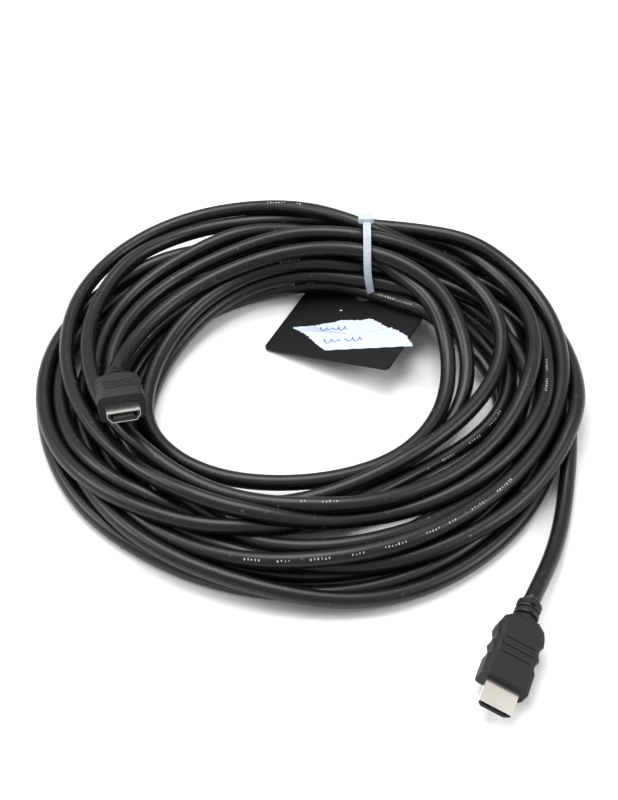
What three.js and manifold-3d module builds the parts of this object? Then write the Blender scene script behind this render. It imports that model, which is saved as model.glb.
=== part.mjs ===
// An audio-video cable of about ten metres, coiled, tied and tagged, with a nineteen-contact plug on each end.
// Millimetres, +Z up. The coil lies on z = 0 round the origin; +Y is the tagged side, and the free plug lies at -Y.
import * as THREE from "three";
import { mergeVertices } from "three/addons/utils/BufferGeometryUtils.js";
import Module from "manifold-3d";

const wasm = await Module();
wasm.setup();

// Cable and coil
const cableDiameter = 7;
const layerPitch = 0.93 * cableDiameter; // upper turns nest a little between the lower ones
const coilSegments = 54;
const tubeSides = 10;
const restGap = 0.3; // between two pieces that lie on or against each other
// The coil's plan and height at every 20 degrees, from +X anticlockwise
const coilInner = [87, 83, 75, 69, 64, 65, 62, 65, 66, 70, 75, 80, 70, 64, 61, 61, 67, 74];
const coilOuter = [125, 128, 124, 103, 97, 107, 126, 132, 129, 125, 118, 115, 110, 110, 117, 120, 116, 119];
const coilLift = [0, 0, 3, 7, 9.3, 5, 0, 0, 0, 0, 0, 0, 0, 0, 0, 0, 0, 0];
const coilLayers = [2.2, 2.6, 3.6, 4.8, 5, 4.2, 3.3, 2.6, 2.2, 2.1, 2.9, 3.4, 3.3, 3.3, 3.4, 3.4, 3, 2.4];

// Plug housing and its strain relief
const housingWidth = 20;
const housingThickness = 11;
const housingLength = 31;
const housingEdge = 2.4;
const shoulderStart = 25;
const gripDepth = 1;
const gripPitch = 7;
const gripStart = 9;
const gripCount = 2;
const barLength = 13;
const barWidth = 0.9;
const barHeight = 0.35;
const barPitch = 3.4;
const barStart = 12;
const barCount = 3;
const bootRadius = 5.1;
const bootGroove = 0.9;
const bootLength = 8.5;
const bootRings = 2;

// Plated shell, its insulator and the contacts
const shellWidth = 13.9;
const shellHeight = 4.45;
const shellFootWidth = 10.2;
const shellWall = 0.3;
const shellReach = 10.5;
const shellSeat = 6;
const seatGap = 0.1;
const insulatorInset = 0.4;
const slotWidth = 10.8;
const slotHeight = 2;
const slotLift = 0.35;
const contactWidth = 0.5;
const contactThickness = 0.25;
const contactLength = 13;
const contactInset = 0.8;
const contactPitch = 1;
const contactGap = 0.05;
const upperContacts = 10;
const lowerContacts = 9;

// Cable tie, board tag and paper label
const strapWidth = 4;
const strapThickness = 1.2;
const tieX = 27;
const tieY = 77.5;
const tieZ = 24.3;
const tieHalfDepth = 18.2;
const tieHalfHeight = 19.8;
const tieHeadWidth = 8;
const tieHeadLength = 6.5;
const tieHeadHeight = 5;
const tieHeadAngle = 52;
const tagWidth = 65.5;
const tagDepth = 54.5;
const tagThickness = 1.2;
const tagCorner = 2.5;
const tagHoleRadius = 0.5 * strapWidth + 2.6;
const tagPlace = [-21.2, 37.7, 0.1];
const tagTurn = -27;
const tagTilt = 13.2;
const labelThickness = 0.25;
// The torn paper's outline on the tag, from its left tip
const labelOutline = [
  [7.5, 16.3], [15.5, 13.5], [21, 10.2], [29.3, 4.6], [64, 18], [63.5, 23.5], [56, 27.5],
  [49.5, 29], [44.9, 31.6], [38.1, 30.5], [36.5, 28.2], [28.6, 28], [19.2, 22],
];

// Where the two plugs lie: the middle of the housing's front face, the turn about Z, the pitch and the roll
const plugPlaces = {
  a: { at: [-78, -38, 40], turn: -168, pitch: 25, roll: 0 },
  b: { at: [73.2, -154.5, 8.2], turn: 159, pitch: -3, roll: -20 },
};
// The cable's free ends, from the coil to the plug: the first lies on the coil, the second on the floor
const leadAPlan = [[-54, 61.5], [-60.3, 55.8], [-69, 46.7], [-75.4, 37], [-81, 25]];
const leadBRoute = [[110.9, -49.5, 3.9], [109.4, -58, 3.7], [107.3, -69, 3.7], [103.6, -82, 3.7], [98.4, -95.5, 4.8]];

const jacket = { color: 0x17181a, roughness: 0.5, metalness: 0 };
const moulding = { color: 0x2b2c2e, roughness: 0.62, metalness: 0 };
const plating = { color: 0xd8d4cc, roughness: 0.28, metalness: 1 };
const insulation = { color: 0x0d0d0e, roughness: 0.5, metalness: 0 };
const gold = { color: 0xd9b36a, roughness: 0.3, metalness: 1 };
const nylon = { color: 0xe9e9e4, roughness: 0.42, metalness: 0 };
const board = { color: 0x1c1c1d, roughness: 0.85, metalness: 0 };
const paper = { color: 0xe8e9ea, roughness: 0.9, metalness: 0 };

const radians = THREE.MathUtils.degToRad;
const cable = new THREE.Group();

function addMesh(parent, name, geometry, look) {
  const mesh = new THREE.Mesh(geometry, new THREE.MeshStandardMaterial(look));
  mesh.name = name;
  parent.add(mesh);
  return mesh;
}

// Solids for cutting and joining
function solidOf(geometry) {
  const bare = geometry.index ? geometry.toNonIndexed() : geometry.clone();
  bare.deleteAttribute("normal");
  bare.deleteAttribute("uv");
  const merged = mergeVertices(bare, 1e-4);
  return new wasm.Manifold(
    new wasm.Mesh({
      numProp: 3,
      vertProperties: merged.attributes.position.array,
      triVerts: new Uint32Array(merged.index.array),
    }),
  );
}

function geometryOf(solid) {
  const mesh = solid.getMesh();
  const geometry = new THREE.BufferGeometry();
  geometry.setAttribute("position", new THREE.BufferAttribute(mesh.vertProperties, 3));
  geometry.setIndex(new THREE.BufferAttribute(mesh.triVerts, 1));
  const faceted = geometry.toNonIndexed();
  faceted.computeVertexNormals();
  return faceted;
}

// A shape drawn in X and Z, extruded back along -Y from its front
function extrudeAlongY(shape, front, length) {
  const geometry = new THREE.ExtrudeGeometry(shape, { depth: length, bevelEnabled: false, curveSegments: 6 });
  return geometry.rotateX(Math.PI / 2).translate(0, front, 0);
}

// The coil's values at an angle, on a closed smooth curve through its stations
function stationCurve(values) {
  const points = values.map((value) => new THREE.Vector3(value, 0, 0));
  const curve = new THREE.CatmullRomCurve3(points, true, "catmullrom", 0.5);
  return (angle) => curve.getPoint(THREE.MathUtils.euclideanModulo(angle / (2 * Math.PI), 1)).x;
}

const innerAt = stationCurve(coilInner);
const outerAt = stationCurve(coilOuter);
const liftAt = stationCurve(coilLift);
const layersAt = stationCurve(coilLayers);
const coilFloorAt = (angle) => Math.max(0, liftAt(angle));
const coilTopAt = (angle) => coilFloorAt(angle) + layersAt(angle) * layerPitch;

// A ring whose section, drawn in a unit square, is spread over the coil's plan and height at each angle
function coilRing() {
  const section = [
    [0.15, 0], [0.85, 0], [0.97, 0.12], [1, 0.4], [1, 0.6], [0.9, 0.88],
    [0.7, 1], [0.3, 1], [0.1, 0.88], [0, 0.6], [0, 0.4], [0.03, 0.12], [0.15, 0],
  ];
  const unit = section.map(([across, up]) => new THREE.Vector2(1 + across, up));
  const ring = new THREE.LatheGeometry(unit, coilSegments).rotateX(Math.PI / 2);
  const place = ring.attributes.position;
  for (let i = 0; i < place.count; i += 1) {
    const angle = Math.atan2(place.getY(i), place.getX(i));
    const across = Math.hypot(place.getX(i), place.getY(i)) - 1;
    const radius = innerAt(angle) + across * (outerAt(angle) - innerAt(angle));
    const floor = coilFloorAt(angle);
    const height = floor + place.getZ(i) * (coilTopAt(angle) - floor);
    place.setXYZ(i, radius * Math.cos(angle), radius * Math.sin(angle), height);
  }
  return ring;
}

// Board tag: a rounded plate, its left edge on the floor and its right side up under the coil
function tagGroup() {
  const group = new THREE.Group();
  group.rotation.order = "ZYX";
  group.position.fromArray(tagPlace);
  group.rotation.set(0, -radians(tagTilt), radians(tagTurn));
  group.updateMatrixWorld(true);
  return group;
}

function roundedPlate(width, depth, corner, grow) {
  const shape = new THREE.Shape();
  const low = -grow;
  const right = width + grow;
  const top = depth + grow;
  shape.moveTo(low + corner, low);
  shape.lineTo(right - corner, low);
  shape.absarc(right - corner, low + corner, corner, -Math.PI / 2, 0, false);
  shape.lineTo(right, top - corner);
  shape.absarc(right - corner, top - corner, corner, 0, Math.PI / 2, false);
  shape.lineTo(low + corner, top);
  shape.absarc(low + corner, top - corner, corner, Math.PI / 2, Math.PI, false);
  shape.lineTo(low, low + corner);
  shape.absarc(low + corner, low + corner, corner, Math.PI, 1.5 * Math.PI, false);
  return shape;
}

// Where the strap, coming down inside the coil, goes through the tag, in the tag's own plane
function strapThroughTag(plate) {
  const point = new THREE.Vector3();
  for (let angle = 180; angle < 270; angle += 1) {
    const y = tieY + (tieHalfDepth + strapThickness / 2) * Math.cos(radians(angle));
    const z = tieZ + (tieHalfHeight + strapThickness / 2) * Math.sin(radians(angle));
    plate.worldToLocal(point.set(tieX, y, z));
    if (point.z < tagThickness / 2) break;
  }
  return point;
}

const tag = tagGroup();
const tagShape = roundedPlate(tagWidth, tagDepth, tagCorner, 0);
const holePlace = strapThroughTag(tag);
const tagHole = new THREE.Path();
tagHole.absarc(holePlace.x, holePlace.y, tagHoleRadius, 0, 2 * Math.PI, true);
tagShape.holes.push(tagHole);
const tagPlate = new THREE.ExtrudeGeometry(tagShape, { depth: tagThickness, bevelEnabled: false, curveSegments: 8 });
addMesh(tag, "label_tag", tagPlate, board);

const labelShape = new THREE.Shape(labelOutline.map(([x, y]) => new THREE.Vector2(x, y)));
const labelSheet = new THREE.ExtrudeGeometry(labelShape, { depth: labelThickness, bevelEnabled: false });
addMesh(tag, "paper_label", labelSheet, paper).position.z = tagThickness + seatGap;
cable.add(tag);

// Cable tie: an oval strap in the plane x = tieX, through the tag's hole and round the coil, with its head on top
function ovalPath(Kind, grow, clockwise) {
  const path = new Kind();
  path.absellipse(tieY, tieZ, tieHalfDepth + grow, tieHalfHeight + grow, 0, 2 * Math.PI, clockwise, 0);
  return path;
}

const acrossStrap = new THREE.Matrix4().makeBasis(
  new THREE.Vector3(0, 1, 0),
  new THREE.Vector3(0, 0, 1),
  new THREE.Vector3(1, 0, 0),
);

function extrudeStrap(shape, width) {
  const geometry = new THREE.ExtrudeGeometry(shape, { depth: width, bevelEnabled: false, curveSegments: 20 });
  return geometry.applyMatrix4(acrossStrap).translate(tieX - width / 2, 0, 0);
}

function tieHead() {
  const shape = new THREE.Shape();
  const half = tieHeadLength / 2;
  const foot = -strapThickness / 2;
  shape.moveTo(-half, foot);
  shape.lineTo(half, foot);
  shape.lineTo(half, tieHeadHeight - 1.5);
  shape.lineTo(half - 1.5, tieHeadHeight);
  shape.lineTo(1.5 - half, tieHeadHeight);
  shape.lineTo(-half, tieHeadHeight - 1.5);
  shape.closePath();
  const turn = radians(tieHeadAngle);
  const middle = strapThickness / 2;
  const y = tieY + (tieHalfDepth + middle) * Math.cos(turn);
  const z = tieZ + (tieHalfHeight + middle) * Math.sin(turn);
  const head = new THREE.ExtrudeGeometry(shape, { depth: tieHeadWidth, bevelEnabled: false });
  head.rotateZ(turn - Math.PI / 2).translate(y, z, 0);
  return head.applyMatrix4(acrossStrap).translate(tieX - tieHeadWidth / 2, 0, 0);
}

const strapLoop = ovalPath(THREE.Shape, strapThickness, false);
strapLoop.holes.push(ovalPath(THREE.Path, 0, true));
const tieSolid = solidOf(extrudeStrap(strapLoop, strapWidth)).add(solidOf(tieHead()));
addMesh(cable, "cable_tie", geometryOf(tieSolid), nylon);

// The coil: its ring, drawn in where the tie holds it and clear of the tag that is tucked under it
function tiedCoil() {
  const slabWidth = strapWidth + 2 * restGap;
  const slab = new THREE.Shape();
  const reach = 3 * tieHalfHeight;
  slab.moveTo(tieY - reach, tieZ - reach);
  slab.lineTo(tieY + reach, tieZ - reach);
  slab.lineTo(tieY + reach, tieZ + reach);
  slab.lineTo(tieY - reach, tieZ + reach);
  slab.holes.push(ovalPath(THREE.Path, -restGap, true));
  const headRoom = new THREE.BoxGeometry(tieHeadWidth + 2 * restGap, 2 * tieHeadLength, 2 * tieHeadLength);
  const turn = radians(tieHeadAngle);
  headRoom.translate(0, 0, tieHeadLength - strapThickness / 2 - restGap).rotateX(turn - Math.PI / 2);
  headRoom.translate(
    tieX,
    tieY + (tieHalfDepth + strapThickness / 2) * Math.cos(turn),
    tieZ + (tieHalfHeight + strapThickness / 2) * Math.sin(turn),
  );
  const tagRoom = new THREE.ExtrudeGeometry(roundedPlate(tagWidth, tagDepth, tagCorner, restGap), {
    depth: tagThickness + 2 * restGap,
    bevelEnabled: false,
    curveSegments: 4,
  });
  tagRoom.translate(0, 0, -restGap).applyMatrix4(tag.matrixWorld);
  return solidOf(coilRing())
    .subtract(solidOf(extrudeStrap(slab, slabWidth)))
    .subtract(solidOf(headRoom))
    .subtract(solidOf(tagRoom));
}

addMesh(cable, "cable_coil", geometryOf(tiedCoil()), jacket);

// The shell's outline, grown outwards evenly; its lower corners slope in to a narrower foot
function shellOutline(Kind, grow) {
  const half = shellWidth / 2;
  const foot = shellFootWidth / 2;
  const top = shellHeight / 2;
  const slope = Math.atan2(half - foot, top);
  const footHalf = foot + grow / Math.cos(slope) - grow * Math.tan(slope);
  const knee = (half + grow - foot - grow / Math.cos(slope)) / Math.tan(slope) - top;
  const outline = new Kind();
  outline.moveTo(-footHalf, -top - grow);
  outline.lineTo(footHalf, -top - grow);
  outline.lineTo(half + grow, knee);
  outline.lineTo(half + grow, top + grow);
  outline.lineTo(-half - grow, top + grow);
  outline.lineTo(-half - grow, knee);
  outline.closePath();
  return outline;
}

function slotPath() {
  const slot = new THREE.Path();
  const low = slotLift - slotHeight / 2;
  const high = slotLift + slotHeight / 2;
  slot.moveTo(-slotWidth / 2, low);
  slot.lineTo(-slotWidth / 2, high);
  slot.lineTo(slotWidth / 2, high);
  slot.lineTo(slotWidth / 2, low);
  slot.closePath();
  return slot;
}

// The housing's plan: straight sides with finger grips, then shoulders that close on the strain relief
function housingPlan(trim) {
  const half = housingWidth / 2;
  const right = [[half, trim], [half, -gripStart]];
  for (let i = 0; i < gripCount; i += 1) {
    const start = gripStart + i * gripPitch;
    right.push([half - gripDepth, -start - 0.3 * gripPitch]);
    right.push([half - gripDepth, -start - 0.6 * gripPitch]);
    right.push([half, -start - 0.9 * gripPitch]);
  }
  right.push([half - 0.4, -shoulderStart]);
  right.push([bootRadius + 0.7 * (half - bootRadius), -0.5 * (shoulderStart + housingLength)]);
  right.push([bootRadius, -housingLength]);
  const left = right.map(([x, y]) => [-x, y]).reverse();
  return new THREE.Shape([...right, ...left].map(([x, y]) => new THREE.Vector2(x, y)));
}

// Strain relief: rings with grooves between them, turned about the cable's axis
function strainRelief() {
  const profile = [new THREE.Vector2(0, -housingLength + 3), new THREE.Vector2(bootRadius, -housingLength + 3)];
  const step = bootLength / (2 * bootRings);
  for (let i = 0; i < bootRings; i += 1) {
    const start = -housingLength - 2 * i * step;
    profile.push(new THREE.Vector2(bootRadius, start));
    profile.push(new THREE.Vector2(bootRadius - bootGroove, start - 0.2));
    profile.push(new THREE.Vector2(bootRadius - bootGroove, start - step));
    profile.push(new THREE.Vector2(bootRadius, start - step - 0.2));
  }
  profile.push(new THREE.Vector2(bootRadius, -housingLength - bootLength));
  profile.push(new THREE.Vector2(0, -housingLength - bootLength));
  return new THREE.LatheGeometry(profile.reverse(), 20);
}

function housingSolid() {
  const trim = 2 * housingEdge;
  const body = new THREE.ExtrudeGeometry(housingPlan(trim), {
    depth: housingThickness - 2 * housingEdge,
    bevelThickness: housingEdge,
    bevelSize: housingEdge,
    bevelOffset: -housingEdge,
    bevelSegments: 2,
  });
  body.translate(0, 0, housingEdge - housingThickness / 2);
  const front = new THREE.BoxGeometry(2 * housingWidth, 2 * trim, 2 * housingThickness).translate(0, trim, 0);
  const seat = extrudeAlongY(shellOutline(THREE.Shape, seatGap), trim, trim + shellSeat);
  let solid = solidOf(body).add(solidOf(strainRelief()));
  for (let i = 0; i < barCount; i += 1) {
    const bar = new THREE.BoxGeometry(barLength, barWidth, housingThickness + 2 * barHeight);
    solid = solid.add(solidOf(bar.translate(0, -barStart - i * barPitch, 0)));
  }
  return solid.subtract(solidOf(front)).subtract(solidOf(seat));
}

const housing = geometryOf(housingSolid());

function makePlug(letter) {
  const { at, turn, pitch, roll } = plugPlaces[letter];
  const plug = new THREE.Group();
  plug.rotation.order = "ZXY";
  plug.position.fromArray(at);
  plug.rotation.set(radians(pitch), radians(roll), radians(turn));
  addMesh(plug, `plug_${letter}_housing`, housing.clone(), moulding);

  const shell = shellOutline(THREE.Shape, 0);
  shell.holes.push(shellOutline(THREE.Path, -shellWall));
  const shellLength = shellReach + shellSeat - seatGap;
  addMesh(plug, `plug_${letter}_shell`, extrudeAlongY(shell, shellReach, shellLength), plating);

  const liner = shellOutline(THREE.Shape, -shellWall - seatGap);
  liner.holes.push(slotPath());
  const linerLength = shellLength - insulatorInset;
  addMesh(plug, `plug_${letter}_insulator`, extrudeAlongY(liner, shellReach - insulatorInset, linerLength), insulation);

  const rows = [[upperContacts, 1], [lowerContacts, -1]];
  let number = 0;
  for (const [count, side] of rows) {
    for (let i = 0; i < count; i += 1) {
      number += 1;
      const name = `plug_${letter}_contact_${String(number).padStart(2, "0")}`;
      const strip = new THREE.BoxGeometry(contactWidth, contactLength, contactThickness);
      const contact = addMesh(plug, name, strip, gold);
      contact.position.set(
        (i - (count - 1) / 2) * contactPitch,
        shellReach - insulatorInset - contactInset - contactLength / 2,
        slotLift + side * (slotHeight / 2 - contactGap - contactThickness / 2),
      );
    }
  }
  plug.updateMatrixWorld(true);
  cable.add(plug);
  return plug;
}

const plugs = { a: makePlug("a"), b: makePlug("b") };

// A point on a plug's axis behind its strain relief
function behindPlug(letter, distance) {
  return plugs[letter].localToWorld(new THREE.Vector3(0, -housingLength - bootLength - distance, 0));
}

// A stretch of cable through its points, with a step every one and a half diameters
function cableTube(points) {
  const route = new THREE.CatmullRomCurve3(points, false, "centripetal");
  const section = new THREE.Shape();
  for (let i = 0; i < tubeSides; i += 1) {
    const angle = (2 * Math.PI * i) / tubeSides;
    const x = (cableDiameter / 2) * Math.cos(angle);
    const y = (cableDiameter / 2) * Math.sin(angle);
    if (i === 0) section.moveTo(x, y);
    else section.lineTo(x, y);
  }
  section.closePath();
  const steps = Math.round(route.getLength() / (1.5 * cableDiameter));
  return new THREE.ExtrudeGeometry(section, { steps, extrudePath: route });
}

const leadARoute = leadAPlan.map(([x, y]) => {
  const height = coilTopAt(Math.atan2(y, x)) + cableDiameter / 2 + 2 * restGap;
  return new THREE.Vector3(x, y, height);
});
leadARoute.push(behindPlug("a", 12), behindPlug("a", restGap));
addMesh(cable, "cable_lead_a", cableTube(leadARoute), jacket);

const leadBPoints = leadBRoute.map((point) => new THREE.Vector3(...point));
leadBPoints.push(behindPlug("b", 8), behindPlug("b", restGap));
addMesh(cable, "cable_lead_b", cableTube(leadBPoints), jacket);

// The part's origin is under the middle of everything
const part = new THREE.Group();
part.add(cable);
part.updateMatrixWorld(true);
const bounds = new THREE.Box3().setFromObject(cable, true);
const middle = bounds.getCenter(new THREE.Vector3());
cable.position.set(-middle.x, -middle.y, -bounds.min.z);

export default part;
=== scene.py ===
import math

import bpy
import numpy as np
from mathutils import Matrix, Vector


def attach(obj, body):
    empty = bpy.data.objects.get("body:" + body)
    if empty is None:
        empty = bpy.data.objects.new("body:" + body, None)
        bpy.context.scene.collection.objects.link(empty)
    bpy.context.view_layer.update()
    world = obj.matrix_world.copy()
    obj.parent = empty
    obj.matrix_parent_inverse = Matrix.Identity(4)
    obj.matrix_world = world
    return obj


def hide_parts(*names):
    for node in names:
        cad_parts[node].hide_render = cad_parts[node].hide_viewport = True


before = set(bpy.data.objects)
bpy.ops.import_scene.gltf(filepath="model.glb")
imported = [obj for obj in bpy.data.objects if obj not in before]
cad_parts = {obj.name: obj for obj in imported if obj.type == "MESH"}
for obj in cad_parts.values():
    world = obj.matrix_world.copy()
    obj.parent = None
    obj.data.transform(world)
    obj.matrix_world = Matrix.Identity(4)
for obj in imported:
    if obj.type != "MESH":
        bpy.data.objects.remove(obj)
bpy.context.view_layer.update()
scene = bpy.context.scene
rng = np.random.default_rng(7)
scene.view_settings.view_transform = "Standard"

mm = 0.001
coilShift = np.array([0.0485, 28.2706, 0.0])  # from the coil's middle to the row frame, mm


def rowFrame(points):
    return (np.asarray(points, dtype=float) + coilShift) * mm


def meshPiece(name, points, faces, material, smooth=True):
    mesh = bpy.data.meshes.new(name)
    mesh.from_pydata([tuple(p) for p in points], [], [tuple(int(i) for i in f) for f in faces])
    mesh.validate()
    mesh.polygons.foreach_set("use_smooth", [smooth] * len(mesh.polygons))
    mesh.materials.append(material)
    piece = bpy.data.objects.new(name, mesh)
    scene.collection.objects.link(piece)
    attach(piece, "root")
    return piece


# Finishes
def plainFinish(name, color, roughness, metallic=0.0, gloss=0.5):
    material = bpy.data.materials.new(name)
    material.use_nodes = True
    shader = material.node_tree.nodes["Principled BSDF"]
    shader.inputs["Base Color"].default_value = (*color, 1)
    shader.inputs["Roughness"].default_value = roughness
    shader.inputs["Metallic"].default_value = metallic
    shader.inputs["Specular IOR Level"].default_value = gloss
    return material


# A fine bump, from noise in the piece's own space
def addGrain(material, scale, strength, distance=0.0001):
    nodes, links = material.node_tree.nodes, material.node_tree.links
    place = nodes.new("ShaderNodeTexCoord")
    noise = nodes.new("ShaderNodeTexNoise")
    noise.inputs["Scale"].default_value = scale
    noise.inputs["Detail"].default_value = 3
    bump = nodes.new("ShaderNodeBump")
    bump.inputs["Strength"].default_value = strength
    bump.inputs["Distance"].default_value = distance
    links.new(place.outputs["Object"], noise.inputs["Vector"])
    links.new(noise.outputs["Fac"], bump.inputs["Height"])
    links.new(bump.outputs["Normal"], nodes["Principled BSDF"].inputs["Normal"])


# Pale specks on the base colour, where the noise is highest
def addSpecks(material, scale, low, high, base, speck):
    nodes, links = material.node_tree.nodes, material.node_tree.links
    place = nodes.new("ShaderNodeTexCoord")
    noise = nodes.new("ShaderNodeTexNoise")
    noise.inputs["Scale"].default_value = scale
    noise.inputs["Detail"].default_value = 2
    ramp = nodes.new("ShaderNodeValToRGB")
    ramp.color_ramp.elements[0].position = low
    ramp.color_ramp.elements[0].color = (*base, 1)
    ramp.color_ramp.elements[1].position = high
    ramp.color_ramp.elements[1].color = (*speck, 1)
    links.new(place.outputs["Object"], noise.inputs["Vector"])
    links.new(noise.outputs["Fac"], ramp.inputs["Fac"])
    links.new(ramp.outputs["Color"], nodes["Principled BSDF"].inputs["Base Color"])


jacketFinish = plainFinish("jacket", (0.003, 0.003, 0.0033), 0.34, gloss=0.42)
addGrain(jacketFinish, 900, 0.15)
addSpecks(jacketFinish, 520, 0.69, 0.80, (0.004, 0.004, 0.0045), (0.10, 0.10, 0.10))
mouldingFinish = plainFinish("moulding", (0.008, 0.008, 0.009), 0.5, gloss=0.32)
addGrain(mouldingFinish, 1900, 0.9, 0.0003)
platingFinish = plainFinish("plating", (0.80, 0.77, 0.70), 0.22, 1.0)
# Black plastic of the insulators, also used for the painted shade in the plugs' slots, dent and dimples
insulationAndShadeFinish = plainFinish("insulation", (0.008, 0.008, 0.008), 0.6)
contactFinish = plainFinish("contact_gold", (0.72, 0.70, 0.64), 0.4, 0.4)
nylonFinish = plainFinish("nylon", (0.52, 0.56, 0.58), 0.35)
nylonInputs = nylonFinish.node_tree.nodes["Principled BSDF"].inputs
nylonInputs["Subsurface Weight"].default_value = 0.25
nylonInputs["Subsurface Scale"].default_value = 0.002
boardFinish = plainFinish("board", (0.006, 0.006, 0.0065), 0.6, gloss=0.2)
addGrain(boardFinish, 1500, 0.6, 0.0002)
addSpecks(boardFinish, 1400, 0.66, 0.82, (0.006, 0.006, 0.0065), (0.05, 0.05, 0.05))
paperFinish = plainFinish("paper", (0.58, 0.63, 0.72), 0.8)
addGrain(paperFinish, 700, 0.5, 0.0003)
penFinish = plainFinish("pen", (0.02, 0.07, 0.50), 0.5)
printFinish = plainFinish("print", (0.42, 0.42, 0.40), 0.6)
print("finishes made")

# Camera
camera = bpy.data.objects.new("camera", bpy.data.cameras.new("camera"))
scene.collection.objects.link(camera)
scene.camera = camera
camera.location = (0.00005, -0.45716, 0.5079)
camera.rotation_euler = (math.radians(44), 0, 0)
camera.data.sensor_fit = "VERTICAL"
camera.data.sensor_height = 36
camera.data.lens = 69.75
camera.data.clip_start = 0.01

# Where the plugs and the tag are, as in the solids, mm from the coil's middle and degrees
cable = {"diameter": 7.0, "sides": 16}
halfDiameter = cable["diameter"] / 2
plugs = {
    "a": {"place": (-78, -38, 40), "turn": -168, "pitch": 25, "roll": 0},
    "b": {"place": (73.2, -154.5, 8.2), "turn": 159, "pitch": -3, "roll": -20},
}
plugSize = {"height": 11, "length": 31, "boot": 8.5, "bootRadius": 5.1}
tag = {"place": (-21.2, 37.7, 0.1), "turn": -27, "tilt": 13.2, "size": (65.5, 54.5, 1.2)}
tie = {"x": 27, "y": 77.5, "z": 24.3}


def plugPoint(letter, point):
    plug = plugs[letter]
    turned = (
        Matrix.Rotation(math.radians(plug["turn"]), 3, "Z")
        @ Matrix.Rotation(math.radians(plug["pitch"]), 3, "X")
        @ Matrix.Rotation(math.radians(plug["roll"]), 3, "Y")
    )
    return np.array(turned @ Vector(point)) + np.array(plug["place"])


def tagPoint(point):
    turned = Matrix.Rotation(math.radians(tag["turn"]), 3, "Z") @ Matrix.Rotation(
        math.radians(-tag["tilt"]), 3, "Y"
    )
    return np.array(turned @ Vector(point)) + np.array(tag["place"])


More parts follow.
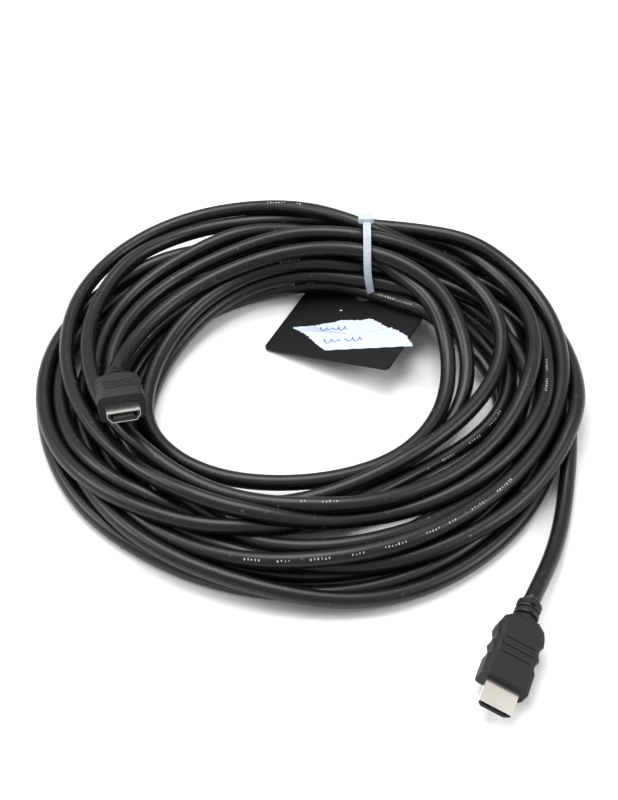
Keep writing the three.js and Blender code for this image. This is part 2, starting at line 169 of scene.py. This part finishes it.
# The cord. Each turn runs clockwise from the left, with a key every 20 degrees:
# its radius, its height, and the place in the tie as a distance and an angle from the tie's middle.
turns = [
    ([87, 85, 82, 77, 76.5, 73.5, 79, 80.5, 77.5, 73, 66, 61, 58, 62, 69, 75, 82, 88],
     [20, 19, 20, 24, 30, 36, 32, 26, 20, 16, 13, 13, 11, 10, 8, 7, 7, 8], (13.2, 126)),
    ([97.5, 104, 105.5, 105.5, 102, 96, 108, 113, 115, 100.5, 91, 84.5, 81, 78, 78, 78.5, 81.5, 89],
     [11, 11, 17, 17, 22, 26, 26, 22, 18, 16, 16, 18, 20, 20, 20, 20, 18, 16], (13.2, 355)),
    ([98.5, 110.9, 118.5, 122.8, 109, 97, 112, 127.5, 124, 114.5, 107.5, 102,
      99.5, 100.5, 101.5, 103, 102.5, 102.5],
     [14, 17, 18, 16, 22, 31, 22, 16, 14, 14, 16, 18, 18, 18, 14, 12, 10, 8], (13.2, 28)),
    ([102, 103, 105, 107, 98, 87, 103, 115, 119, 119, 113, 114, 117.5, 120.5, 109.5, 109.5, 109, 111],
     [7, 6, 5, 6, 12, 24, 16, 9, 4, 4, 4, 5, 7, 10, 10, 9, 5, 4], (6, 0)),
    ([114, 122, 116, 105, 98, 91, 101, 112, 112, 110, 106, 106, 108, 110, 109, 110, 111.5, 116],
     [4, 4, 4, 4, 10, 20, 13, 5, 4, 4, 4, 4, 4, 4, 4, 4, 4, 4], (13.2, 322)),
    ([119.5, 125.5, 121, 111, 98, 88, 96, 106, 108, 101, 93, 81, 71, 72, 77, 86, 98, 109],
     [4, 4, 4, 4, 8, 15, 10, 4, 4, 9, 9, 6, 6, 5, 5, 9, 12, 11], (13.2, 289)),
    ([113, 119, 114, 107, 102, 82, 98, 118, 118.5, 107, 99, 92.5, 86, 83, 83.5, 85.5, 89.5, 97.5],
     [10, 10, 10, 10, 14, 22, 18, 12, 10, 10, 11, 12, 18, 20, 20, 20, 20, 20], (6, 216)),
    ([108, 121, 131.5, 128.7, 112, 95, 106, 121, 125.5, 122, 115, 109, 103, 99, 93, 94, 94, 97],
     [16, 14, 14, 20, 29, 37, 20, 10, 7, 8, 8, 8, 7, 6, 6, 7, 7, 7], (13.2, 60)),
    ([97, 98, 100, 101, 96, 84, 92, 104, 102, 96.5, 81, 64.5, 64, 73, 85, 93.5, 106, 115.5],
     [6, 5, 5, 6, 12, 30, 22, 12, 9, 11, 11, 9, 9, 10, 12, 14, 16, 12], (6, 72)),
    ([122, 123, 118.5, 112, 98, 78, 76, 77.5, 68.5, 63.5, 61, 57, 57, 58, 60, 66, 76, 79.5],
     [9, 10, 10, 10, 20, 29, 26, 22, 16, 12, 8, 7, 12, 15, 16, 16, 13, 11], (6, 144)),
    ([73.5, 73, 74, 74.5, 72.5, 69.5, 82, 101, 104, 97, 93, 94, 93, 92, 92, 93, 92, 92],
     [11, 12, 15, 20, 27, 32, 26, 14, 8, 5, 4, 4, 4, 5, 5, 4, 4, 4], (13.2, 158)),
    ([91, 88, 86, 88, 86, 82, 88, 101, 104, 102, 99, 95, 93, 93, 91, 84, 86, 87],
     [4, 4, 4, 5, 10, 18, 13, 10, 10, 10, 10, 10, 11, 11, 10, 9, 9, 9], (6, 288)),
    ([92, 97, 95, 88.5, 83.5, 81, 87.5, 96, 97.5, 83.5, 70.5, 65.5, 65, 66, 70, 76, 81, 85],
     [12, 14, 17, 24, 33, 40, 36, 29, 24, 22, 20, 22, 22, 17, 12, 6, 5, 4], (13.2, 93)),
    ([81, 76, 76.5, 78, 75, 71, 70, 74, 87, 93, 93, 90, 91, 92, 92, 88, 89, 82],
     [4, 4, 4, 4, 8, 15, 14, 10, 5, 4, 4, 4, 4, 4, 4, 4, 4, 4], (13.2, 224)),
    ([74, 74, 73, 73.5, 71.5, 68, 74, 78, 93, 101, 100, 98, 98, 98, 98, 98, 98, 100],
     [4, 6, 9, 14, 20, 24, 20, 14, 9, 4, 4, 4, 4, 4, 4, 4, 4, 4], (13.2, 191)),
    ([99, 95, 94, 95, 90, 79, 90, 108, 116, 117.5, 113.5],
     [5, 5, 5, 5, 8, 14, 12, 6, 4, 4, 4], (13.2, 257)),
]
perKey = 4  # stations from one key to the next
perTurn = 18 * perKey
eye = np.array([0.0, -485.43, 507.9])  # the camera, mm from the coil's middle
strandSpread = cable["diameter"] + 0.05  # mm between the middles of strands that touch
tieShares = ((-2, 0.3), (-1, 0.75), (0, 1.0), (1, 0.75), (2, 0.3))  # how far stations go to their place in the tie
tagMargin = (3, 2)  # mm before the tag's near edge, and beyond the other three, where a strand is lifted
onTag = halfDiameter * 1.05  # from the tag's face to the middle of a strand on it
settle = {
    "rounds": 420, "toPlace": 0.16, "toHeight": 0.05, "sink": 0.05, "smooth": 0.16, "stiff": 0.03,
    "pushes": 3, "push": 0.6, "tagFace": 1.3, "highest": 60, "spareRadius": 400.0, "spareHeight": 500.0,
}


def fillIn(keys, steps):
    # A cubic through the keys with the mean of the two slopes at each, steps points to a span
    keys = np.asarray(keys, dtype=float)
    ends = np.concatenate([2 * keys[:1] - keys[1:2], keys, 2 * keys[-1:] - keys[-2:-1]])
    t = np.arange((len(keys) - 1) * steps + 1) / steps
    i = np.minimum(t.astype(int), len(keys) - 2)
    f = (t - i).reshape(-1, *([1] * (keys.ndim - 1)))
    a, b, c, d = ends[i], ends[i + 1], ends[i + 2], ends[i + 3]
    return b + 0.5 * f * (c - a + f * (2 * a - 5 * b + 4 * c - d + f * (3 * (b - c) + d - a)))


def settledCoil():
    wantRadius = fillIn(np.concatenate([t[0] for t in turns]), perKey)
    wantHeight = fillIn(np.concatenate([t[1] for t in turns]), perKey)
    count = len(wantRadius)
    angle = math.pi - np.arange(count) * 2 * math.pi / perTurn
    sightSlope = (wantRadius - eye[1] * np.sin(angle)) / (eye[2] - wantHeight)
    # A place in the tie, where the strand crosses the tie's plane
    tieStation = round((180 - math.degrees(math.atan2(tie["y"], tie["x"]))) / (360 / perTurn))
    for n, (_, _, (out, turn)) in enumerate(turns):
        y = tie["y"] + out * math.cos(math.radians(turn))
        z = tie["z"] + out * math.sin(math.radians(turn))
        for near, share in tieShares:
            k = n * perTurn + tieStation + near
            across = y / math.sin(angle[k]) if near else math.hypot(tie["x"], y)
            wantRadius[k] += share * (across - wantRadius[k])
            wantHeight[k] += share * (z - wantHeight[k])
    # The last turn is short, so it is filled up with stations far from everything
    rows = len(turns)
    total = rows * perTurn
    spare = total - count
    radius = np.concatenate([wantRadius, np.full(spare, settle["spareRadius"])])
    height = np.concatenate([wantHeight, np.arange(spare) * 20 + settle["spareHeight"]])
    held = np.zeros(total, dtype=bool)
    held[tieStation::perTurn] = True
    held[count:] = True
    heldRadius, heldHeight = radius.copy(), height.copy()
    upper, lower = np.triu_indices(rows, 1)
    wholeAngle = (math.pi - np.arange(total) * 2 * math.pi / perTurn).reshape(rows, perTurn)
    tilt = math.radians(tag["tilt"])
    slope = math.tan(tilt)
    along = math.radians(tag["turn"])
    for step in range(settle["rounds"]):
        late = step / settle["rounds"]
        # Towards the chosen place along the line of sight, and gently down
        sight = wantRadius - (height[:count] - wantHeight) * sightSlope
        radius[:count] += settle["toPlace"] * (1 - 0.5 * late) * (sight - radius[:count])
        height[:count] += settle["toHeight"] * (1 - late) * (wantHeight - height[:count]) - settle["sink"]
        # Smooth along the strand
        for values in (radius, height):
            v = values[:count]
            v[1:-1] += settle["smooth"] * (v[:-2] + v[2:] - 2 * v[1:-1])
            v[2:-2] -= settle["stiff"] * (v[:-4] + v[4:] - 4 * (v[1:-3] + v[3:-1]) + 6 * v[2:-2])
        # Strands that overlap in a half plane move apart
        r, z = radius.reshape(rows, perTurn), height.reshape(rows, perTurn)
        for _ in range(settle["pushes"]):
            dr, dz = r[upper] - r[lower], z[upper] - z[lower]
            gap = np.hypot(dr, dz) + 1e-6
            push = np.clip(strandSpread - gap, 0, None) * 0.5 * settle["push"] / gap
            moveR, moveZ = np.zeros_like(r), np.zeros_like(z)
            np.add.at(moveR, upper, push * dr)
            np.add.at(moveR, lower, -push * dr)
            np.add.at(moveZ, upper, push * dz)
            np.add.at(moveZ, lower, -push * dz)
            r += moveR
            z += moveZ
            # The floor, and the tag where it lies under a strand
            x = r * np.cos(wholeAngle) - tag["place"][0]
            y = r * np.sin(wholeAngle) - tag["place"][1]
            u = (x * math.cos(along) + y * math.sin(along)) / math.cos(tilt)
            v = -x * math.sin(along) + y * math.cos(along)
            over = (u > -tagMargin[0]) & (u < tag["size"][0] + tagMargin[1])
            over &= (v > -tagMargin[1]) & (v < tag["size"][1] + tagMargin[1])
            overTag = u * slope * math.cos(tilt) + tag["place"][2] + settle["tagFace"] + onTag
            least = np.where(over, overTag, halfDiameter + 0.05)
            np.maximum(z, np.minimum(least, settle["highest"]), out=z)
        radius[held], height[held] = heldRadius[held], heldHeight[held]
    overlap = np.clip(strandSpread - np.hypot(r[upper] - r[lower], z[upper] - z[lower]), 0, None)
    print("coil settled, deepest overlap in a half plane mm", round(float(overlap.max()), 2))
    x, y = radius[:count] * np.cos(angle), radius[:count] * np.sin(angle)
    return np.column_stack([x, y, height[:count]])


def smoothed(points, passes):
    points = points.copy()
    for _ in range(passes):
        points[1:-1] += 0.25 * (points[:-2] + points[2:] - 2 * points[1:-1])
    return points


rear = plugSize["length"] + plugSize["boot"]
coilPoints = settledCoil()
startPoints = [plugPoint("a", (0, -rear - back, 0)) for back in (0.3, 7, 14)]
leadPoints = [
    (110.9, -49.5, 3.9), (109.4, -58, 3.7), (107.3, -69, 3.7), (103.6, -82, 3.7), (98.4, -95.5, 4.8),
    plugPoint("b", (0, -rear - 8, 0)), plugPoint("b", (0, -rear - 0.3, 0)),
]
strandFrom = 6  # the first stations are taken up by plug A
route = np.concatenate([startPoints, coilPoints[strandFrom:], leadPoints])


def evenly(points, step):
    reach = np.concatenate([[0], np.cumsum(np.linalg.norm(np.diff(points, axis=0), axis=1))])
    at = np.linspace(0, reach[-1], max(2, round(reach[-1] / step)) + 1)
    return np.column_stack([np.interp(at, reach, points[:, k]) for k in range(3)])


parting = {
    "passes": 8, "rounds": 150, "sameStretch": 9, "rise": 0.8, "push": 0.22, "furthest": 1.2,
    "back": 0.016, "smooth": 0.17, "tagFace": 1.5, "pastTag": 1.5,
}
floorSpace = halfDiameter + 0.02  # mm from the floor to the middle of a strand on it
pinned = [0, 1, 2, -2, -1]  # the points next to the plugs, which don't move


def keptApart(points):
    # Wherever two stretches come closer than a diameter, both move away from each other.
    # The plugs and the tie aren't looked at.
    points = smoothed(points, parting["passes"])
    first = points.copy()
    along = math.radians(tag["turn"])
    for _ in range(parting["rounds"]):
        p = points.astype(np.float32)
        square = (p * p).sum(axis=1)
        i, j = np.nonzero((square[:, None] + square[None, :] - 2 * p @ p.T) < strandSpread * strandSpread)
        keep = j - i > parting["sameStretch"]
        i, j = i[keep], j[keep]
        apart = points[j] - points[i]
        apart[:, 2] += np.where(first[j, 2] >= first[i, 2], parting["rise"], -parting["rise"])
        gap = np.linalg.norm(points[j] - points[i], axis=1)
        reach = (np.clip(strandSpread - gap, 0, None) * parting["push"])[:, None]
        push = apart / np.linalg.norm(apart, axis=1)[:, None] * reach
        move = np.zeros_like(points)
        np.add.at(move, j, push)
        np.add.at(move, i, -push)
        points[1:-1] += np.clip(move, -parting["furthest"], parting["furthest"])[1:-1]
        points[1:-1] += parting["back"] * (first - points)[1:-1]
        points[1:-1] += parting["smooth"] * (points[:-2] + points[2:] - 2 * points[1:-1])
        # The floor, and the tag where it lies under a strand
        x, y = points[:, 0] - tag["place"][0], points[:, 1] - tag["place"][1]
        u = x * math.cos(along) + y * math.sin(along)
        v = -x * math.sin(along) + y * math.cos(along)
        over = (u > -tagMargin[0]) & (u < tag["size"][0] + parting["pastTag"])
        over &= (v > -tagMargin[1]) & (v < tag["size"][1] + parting["pastTag"])
        overTag = u * math.tan(math.radians(tag["tilt"])) + parting["tagFace"] + onTag
        points[:, 2] = np.maximum(points[:, 2], np.where(over, overTag, floorSpace))
        points[pinned] = first[pinned]
    closest = round(float(gap.min()), 2) if len(gap) else "none"
    print("strands kept apart, pairs still within a diameter", len(i), "closest centres mm", closest)
    return points


route = keptApart(evenly(fillIn(route, 6), 3.9))
route = smoothed(evenly(fillIn(route, 3), 2.6), 14)
route[:, 2] = np.maximum(route[:, 2], floorSpace)
cordLength = float(np.linalg.norm(np.diff(route, axis=0), axis=1).sum()) * mm
print("cord length m", round(cordLength, 3), "points", len(route))


def ringFrames(points):
    ahead = np.gradient(points, axis=0)
    ahead /= np.linalg.norm(ahead, axis=1)[:, None]
    side = np.cross(ahead, [0, 0, 1])
    side /= np.linalg.norm(side, axis=1)[:, None]
    return ahead, side, np.cross(side, ahead)


def tubeMesh(points, radius, sides):
    # A ring at each point: the point, plus radius times side times cosine, plus up times sine
    _, side, up = ringFrames(points)
    a = np.arange(sides) * 2 * math.pi / sides
    rings = points[:, None, :] + radius * (
        np.cos(a)[None, :, None] * side[:, None, :] + np.sin(a)[None, :, None] * up[:, None, :]
    )
    n = len(points)
    i, j = np.meshgrid(np.arange(n - 1), np.arange(sides), indexing="ij")
    nextJ = (j + 1) % sides
    corners = [i * sides + j, i * sides + nextJ, (i + 1) * sides + nextJ, (i + 1) * sides + j]
    quads = np.stack(corners, axis=-1)
    faces = [tuple(q) for q in quads.reshape(-1, 4)[:, ::-1]]
    faces.append(tuple(range(sides)))
    faces.append(tuple(range(n * sides - 1, (n - 1) * sides - 1, -1)))
    return rings.reshape(-1, 3), faces


cordPoints, cordFaces = tubeMesh(route, halfDiameter, cable["sides"])
cord = meshPiece("cord", rowFrame(cordPoints), cordFaces, jacketFinish)
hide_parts("cable_coil", "cable_lead_a", "cable_lead_b")
plugBNodes = ["plug_b_housing", "plug_b_shell", "plug_b_insulator"]
plugBNodes += ["plug_b_contact_%02d" % n for n in range(1, 20)]
print("cord made")

# Printed marks on the jacket: short upright strokes in groups, on the side that faces the camera.
# Each row is the turn, the angles that it runs between in degrees, and how far round it is turned.
jacketMarks = [
    (2, -34, -104, 0.0), (1, -80, -92, -0.5), (11, 163, 152, 0.3), (10, 101, 94, 0.5),
    (13, 116, 84, 0.35), (13, 62, 14, 0.1), (8, -8, -40, 0.1), (6, 6, -8, 0.0), (7, 101, 92, 0.7),
]
mark = {"pitch": 0.56, "lift": 0.03, "across": 4}  # stations between strokes, mm, points across a stroke


def markStrips():
    points, faces = [], []
    _, sides, ups = ringFrames(route)
    bearing = np.degrees(np.unwrap(np.arctan2(route[:, 1], route[:, 0])))
    # Degrees that the cable has turned since plug A
    turned = 180 - bearing + 360 * round((bearing[0] - 180) / 360)
    for turn, first, last, lean in jacketMarks:
        ends = (float(np.argmax(turned >= turn * 360 + 180 - degrees)) for degrees in (first, last))
        at, stop = ends
        while at < stop:
            for _ in range(int(rng.integers(3, 8))):
                width, tall = rng.uniform(0.10, 0.26), rng.uniform(0.07, 0.15)
                low = rng.uniform(-0.04, 0.06)
                base = len(points)
                for share in (0, width):
                    k = min(at + share, len(route) - 2)
                    i, f = int(k), k - int(k)
                    middle = route[i] * (1 - f) + route[i + 1] * f
                    side, up = sides[i], ups[i]
                    toEye = eye - middle
                    facing = math.atan2(toEye @ up, toEye @ side) + lean
                    for r in np.linspace(low - tall, low + tall, mark["across"]):
                        outward = math.cos(facing + r) * side + math.sin(facing + r) * up
                        points.append(middle + (halfDiameter + mark["lift"]) * outward)
                other = base + mark["across"]
                faces += [(base + j, base + j + 1, other + 1 + j, other + j) for j in range(mark["across"] - 1)]
                at += mark["pitch"]
                if at >= stop:
                    break
            at += rng.uniform(1.4, 3.2)
    return points, faces


markPoints, markFaces = markStrips()
meshPiece("jacket_marks", rowFrame(markPoints), markFaces, printFinish)
print("jacket marks made")


# Small solids given in a plug's or the tag's own axes
def boxShape(middle, size, trim=0.0):
    points = []
    for z, inset in ((-1, 0.0), (1, trim)):
        for x, y in ((-1, -1), (1, -1), (1, 1), (-1, 1)):
            points.append((
                middle[0] + x * (size[0] / 2 - inset),
                middle[1] + y * (size[1] / 2 - inset),
                middle[2] + z * size[2] / 2,
            ))
    faces = [(3, 2, 1, 0), (4, 5, 6, 7), (0, 1, 5, 4), (1, 2, 6, 5), (2, 3, 7, 6), (3, 0, 4, 7)]
    return points, faces


def joined(shapes):
    points, faces = [], []
    for p, f in shapes:
        faces += [tuple(i + len(points) for i in face) for face in f]
        points += [tuple(q) for q in p]
    return points, faces


def slotShadeStrip(firstAngle, lastAngle, back, wide, radius):
    # A dark curved strip round the strain relief, painted as the shade inside one of its slots: radius times cosine
    # across, radius times sine up
    points, spans = [], 8
    angles = np.linspace(math.radians(firstAngle), math.radians(lastAngle), spans + 1)
    for y in (-back, -back - wide):
        points += [(radius * math.cos(a), y, radius * math.sin(a)) for a in angles]
    faces = [(i, i + 1, i + spans + 2, i + spans + 1) for i in range(spans)]
    return points, faces


# Sizes and places of the housing ribs, and of the painted shade: dark strips in the boot's slots, a dark patch at a
# dent on top, and dark patches at plug A's latch dimples
plugDetail = {
    "barStart": 12, "barPitch": 3.4, "bar": (13.2, 1.9, 0.42), "barLift": 0.19, "barTrim": 0.25,
    "slotBack": (2.0, 5.0), "slotWide": 1.15, "slotAngles": ((12, 80), (100, 168), (192, 260), (280, 348)),
    "slotLift": 0.04, "dentShade": (1.5, 0.9, 0.06), "dentBack": 5.2, "darkLift": 0.02,
    "latchShade": (1.0, 1.0, 0.05), "latchAt": 6.0, "latchSide": 3.2, "shellTop": 2.225,
}


def plugPiece(kind, letter, shapes, material):
    points, faces = joined(shapes)
    points = rowFrame([plugPoint(letter, p) for p in points])
    meshPiece("plug_%s_%s" % (letter, kind), points, faces, material, False)


for letter in plugs:
    bars = []
    top = plugSize["height"] / 2
    for face in (1, -1):
        for n in range(3):
            y = -plugDetail["barStart"] - n * plugDetail["barPitch"]
            points, faces = boxShape((0, y, top + plugDetail["barLift"]), plugDetail["bar"], plugDetail["barTrim"])
            if face < 0:
                points = [(-x, y2, -z) for x, y2, z in points]
            bars.append((points, faces))
    plugPiece("bars", letter, bars, mouldingFinish)
    # Painted shade: thin dark strips and patches, lifted just off the surface, where the boot's slots, the dent and
    # the latch dimples are
    recessShade = []
    for back in plugDetail["slotBack"]:
        for angles in plugDetail["slotAngles"]:
            slotRadius = plugSize["bootRadius"] + plugDetail["slotLift"]
            recessShade.append(slotShadeStrip(*angles, plugSize["length"] + back, plugDetail["slotWide"], slotRadius))
    recessShade.append(boxShape((0, -plugDetail["dentBack"], top + plugDetail["darkLift"]), plugDetail["dentShade"]))
    if letter == "a":
        for x in (-plugDetail["latchSide"], plugDetail["latchSide"]):
            place = (x, plugDetail["latchAt"], plugDetail["shellTop"] + plugDetail["darkLift"])
            recessShade.append(boxShape(place, plugDetail["latchShade"]))
    plugPiece("recess_shade", letter, recessShade, insulationAndShadeFinish)
print("plug details made")

# The tie: a ribbed strap round an oval, and a head with rounded edges
tieShape = {
    "halfDepth": 18.8, "halfHeight": 20.4, "width": 3.5, "thickness": 1.2, "ridge": 0.16, "ridgeEnd": 205,
    "edge": 0.55, "ridgeEdge": 0.6, "lean": 2.4, "leanAt": 212, "leanSpread": 34,
    "headAngle": 84, "head": (7.4, 5.8, 3.8), "headSide": 0.3, "headPower": 0.45,
}


def strapMesh():
    # Each point is the tie's middle, plus half the depth times cosine in y and half the height
    # times sine in z, plus the section's reach along the oval's outward direction
    count = 460
    t = math.radians(tieShape["headAngle"]) + np.arange(count) / count * 2 * math.pi
    out = np.column_stack([np.cos(t) / tieShape["halfDepth"], np.sin(t) / tieShape["halfHeight"]])
    out /= np.linalg.norm(out, axis=1)[:, None]
    # The strap leans towards the tag's hole where it goes down at the front
    lean = tieShape["lean"] * np.exp(-((np.degrees(t) - tieShape["leanAt"]) / tieShape["leanSpread"]) ** 2)
    ridge = tieShape["ridge"] * ((np.arange(count) % 3) < 2) * (np.degrees(t) < tieShape["ridgeEnd"])
    half, thick = tieShape["width"] / 2, tieShape["thickness"] / 2
    edge, ridgeEdge = tieShape["edge"], tieShape["ridgeEdge"]
    # The section's corners: across, outward, and whether the ridges raise it
    section = [(-half, thick, 0), (-half + edge, thick, 0), (-half + ridgeEdge, thick, 1),
               (half - ridgeEdge, thick, 1), (half - edge, thick, 0), (half, thick, 0),
               (half, -thick, 0), (-half, -thick, 0)]
    points = []
    for x, reach, ribbed in section:
        r = reach + ribbed * ridge
        points.append(np.column_stack([
            tie["x"] + lean + x,
            tie["y"] + tieShape["halfDepth"] * np.cos(t) + out[:, 0] * r,
            tie["z"] + tieShape["halfHeight"] * np.sin(t) + out[:, 1] * r,
        ]))
    points = np.stack(points, axis=1).reshape(-1, 3)
    n = len(section)
    faces = []
    for i in range(count):
        here, ahead = i * n, (i + 1) % count * n
        faces += [(here + j, here + (j + 1) % n, ahead + (j + 1) % n, ahead + j) for j in range(n)]
    return points, faces


def drawnOut(value):
    return math.copysign(abs(value) ** tieShape["headPower"], value)


def tieHeadMesh():
    # A ball drawn out towards a box: each coordinate is the ball's, raised to a small power
    a = math.radians(tieShape["headAngle"])
    outward, along = np.array([0, math.cos(a), math.sin(a)]), np.array([0, -math.sin(a), math.cos(a)])
    middle = np.array([tie["x"] - tieShape["headSide"], tie["y"], tie["z"]], dtype=float)
    middle[1] += (tieShape["halfDepth"] + tieShape["thickness"] / 2) * math.cos(a)
    middle[2] += (tieShape["halfHeight"] + tieShape["thickness"] / 2) * math.sin(a)
    wide, long, tall = (v / 2 for v in tieShape["head"])
    points, rows, columns = [], 16, 28
    for i in range(rows + 1):
        v = math.pi * (i / rows - 0.5)
        for j in range(columns):
            u = 2 * math.pi * j / columns
            c = abs(math.cos(v)) ** tieShape["headPower"]
            x, y, z = wide * c * drawnOut(math.cos(u)), long * c * drawnOut(math.sin(u)), tall * drawnOut(math.sin(v))
            points.append(middle + x * np.array([1, 0, 0]) + y * along + z * outward)
    faces = []
    for i in range(rows):
        here, above = i * columns, (i + 1) * columns
        for j in range(columns):
            after = (j + 1) % columns
            faces.append((here + j, here + after, above + after, above + j))
    return points, faces


points, faces = joined([strapMesh(), tieHeadMesh()])
tiePiece = meshPiece("tie", rowFrame(points), faces, nylonFinish, False)
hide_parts("cable_tie")
print("tie made")

# The torn paper: its outline in the tag's axes, roughened along the torn edges
paperOutline = [
    (7.5, 16.8), (15.5, 13.8), (21, 10.4), (30.6, 4.8), (70.6, 17.4), (65, 22.6), (57.9, 26.4),
    (51.5, 27.6), (44.9, 30.4), (40.9, 31.2), (37.6, 28.6), (33.5, 28.6), (28.6, 27.2), (18, 20.8),
]
cutEdges = (3,)  # the edge that starts at this corner was cut straight
sheet = {"middle": (38.0, 18.5), "step": 0.7, "rough": 0.28, "lift": 0.3, "curl": 0.2, "thick": 0.16, "inner": 0.95}


def paperMesh():
    # Two rims and a middle: each rim is the outline drawn in towards the middle, the outer one curled
    rim = []
    for i, (x0, y0) in enumerate(paperOutline):
        x1, y1 = paperOutline[(i + 1) % len(paperOutline)]
        steps = max(2, int(math.hypot(x1 - x0, y1 - y0) / sheet["step"]))
        rough = 0.0 if i in cutEdges else sheet["rough"]
        for k in range(steps):
            f = k / steps
            rim.append((x0 + (x1 - x0) * f + rng.normal(0, rough), y0 + (y1 - y0) * f + rng.normal(0, rough)))
    middle, face = sheet["middle"], tag["size"][2] + sheet["lift"]
    points, n = [], len(rim)
    for share, curl in ((1.0, sheet["curl"]), (sheet["inner"], 0.0)):
        for x, y in rim:
            px, py = middle[0] + (x - middle[0]) * share, middle[1] + (y - middle[1]) * share
            points.append((px, py, face + curl * (0.5 + 0.5 * math.sin(px * 0.9))))
    points.append((*middle, face))
    faces = [(i, (i + 1) % n, n + (i + 1) % n, n + i) for i in range(n)]
    faces += [(n + i, n + (i + 1) % n, 2 * n) for i in range(n)]
    under = [(x, y, z - sheet["thick"]) for x, y, z in points]
    base = len(points)
    faces += [tuple(base + i for i in reversed(f)) for f in faces]
    faces += [((i + 1) % n, i, base + i, base + (i + 1) % n) for i in range(n)]
    return points + under, faces


points, faces = paperMesh()
paper = meshPiece("paper", rowFrame([tagPoint(p) for p in points]), faces, paperFinish, False)
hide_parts("paper_label")

# Two rows of plain pen waves on the paper, that spell nothing
penRows = [
    {"from": (20.5, 18.6), "to": (34.5, 22.8), "rise": 1.7, "waves": 5},
    {"from": (26.5, 10.6), "to": (45.5, 17.4), "rise": 1.6, "waves": 6},
]
pen = {"points": 90, "halfWidth": 0.2, "lift": 0.36, "word": 45, "gapFrom": 40, "gapTo": 43}
penPoints, penFaces = [], []
for row in penRows:
    start, end = np.array(row["from"]), np.array(row["to"])
    ahead = (end - start) / np.linalg.norm(end - start)
    across = np.array([-ahead[1], ahead[0]])
    line = []
    for f in np.linspace(0, 1, pen["points"]):
        swing = math.sin(2 * math.pi * row["waves"] * f) * (0.65 + 0.35 * math.sin(9 * f + 1))
        slip = 0.5 * math.cos(2 * math.pi * row["waves"] * f)
        line.append(start + (end - start) * f + across * row["rise"] * swing + ahead * slip)
    line = np.array(line)
    turn = np.gradient(line, axis=0)
    turn /= np.linalg.norm(turn, axis=1)[:, None]
    offset = np.column_stack([-turn[:, 1], turn[:, 0]]) * pen["halfWidth"]
    base = len(penPoints)
    for q in np.stack([line + offset, line - offset], axis=1).reshape(-1, 2):
        penPoints.append((q[0], q[1], tag["size"][2] + pen["lift"]))
    for i in range(pen["points"] - 1):
        if not pen["gapFrom"] <= i % pen["word"] <= pen["gapTo"]:
            k = base + 2 * i
            penFaces.append((k, k + 1, k + 3, k + 2))
meshPiece("pen_waves", rowFrame([tagPoint(p) for p in penPoints]), penFaces, penFinish)
points, faces = boxShape((24.3, 34.4, tag["size"][2] + 0.1), (1.3, 0.7, 0.16), 0.15)
meshPiece("tag_speck", rowFrame([tagPoint(p) for p in points]), faces, paperFinish, False)
print("paper made")

# The CAD's own pieces keep their shapes and get these finishes
nodeFinishes = {
    "_housing": mouldingFinish, "_shell": platingFinish, "_insulator": insulationAndShadeFinish,
    "_contact_": contactFinish, "label_tag": boardFinish,
}
for nodeName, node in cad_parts.items():
    for words, finish in nodeFinishes.items():
        if words in nodeName:
            node.material_slots[0].material = finish
print("solids finished")

# Floor and lights
floorMesh = bpy.data.meshes.new("floor")
floorHeight = -0.0001
floorCorners = [(x, y, floorHeight) for x, y in ((-3, -3), (3, -3), (3, 3), (-3, 3))]
floorMesh.from_pydata(floorCorners, [], [(0, 1, 2, 3)])
floorMesh.materials.append(plainFinish("floor", (0.92, 0.92, 0.92), 0.7))
floor = bpy.data.objects.new("floor", floorMesh)
scene.collection.objects.link(floor)


def softLight(name, place, aim, size, power):
    lamp = bpy.data.lights.new(name, "AREA")
    lamp.size = size
    lamp.energy = power
    light = bpy.data.objects.new(name, lamp)
    light.location = place
    light.rotation_euler = (Vector(aim) - Vector(place)).to_track_quat("-Z", "Y").to_euler()
    scene.collection.objects.link(light)


softLight("top_light", (-0.15, 0.35, 1.3), (0, 0, 0), 0.9, 15)
softLight("left_light", (-1.2, 0.1, 0.9), (0, 0, 0), 0.6, 8)
softLight("right_light", (1.2, -0.2, 0.9), (0, 0, 0), 0.6, 7)
world = bpy.data.worlds.new("room")
scene.world = world
world.use_nodes = True
world.node_tree.nodes["Background"].inputs["Color"].default_value = (0.95, 0.97, 1.0, 1)
world.node_tree.nodes["Background"].inputs["Strength"].default_value = 0.66
print("stage made")
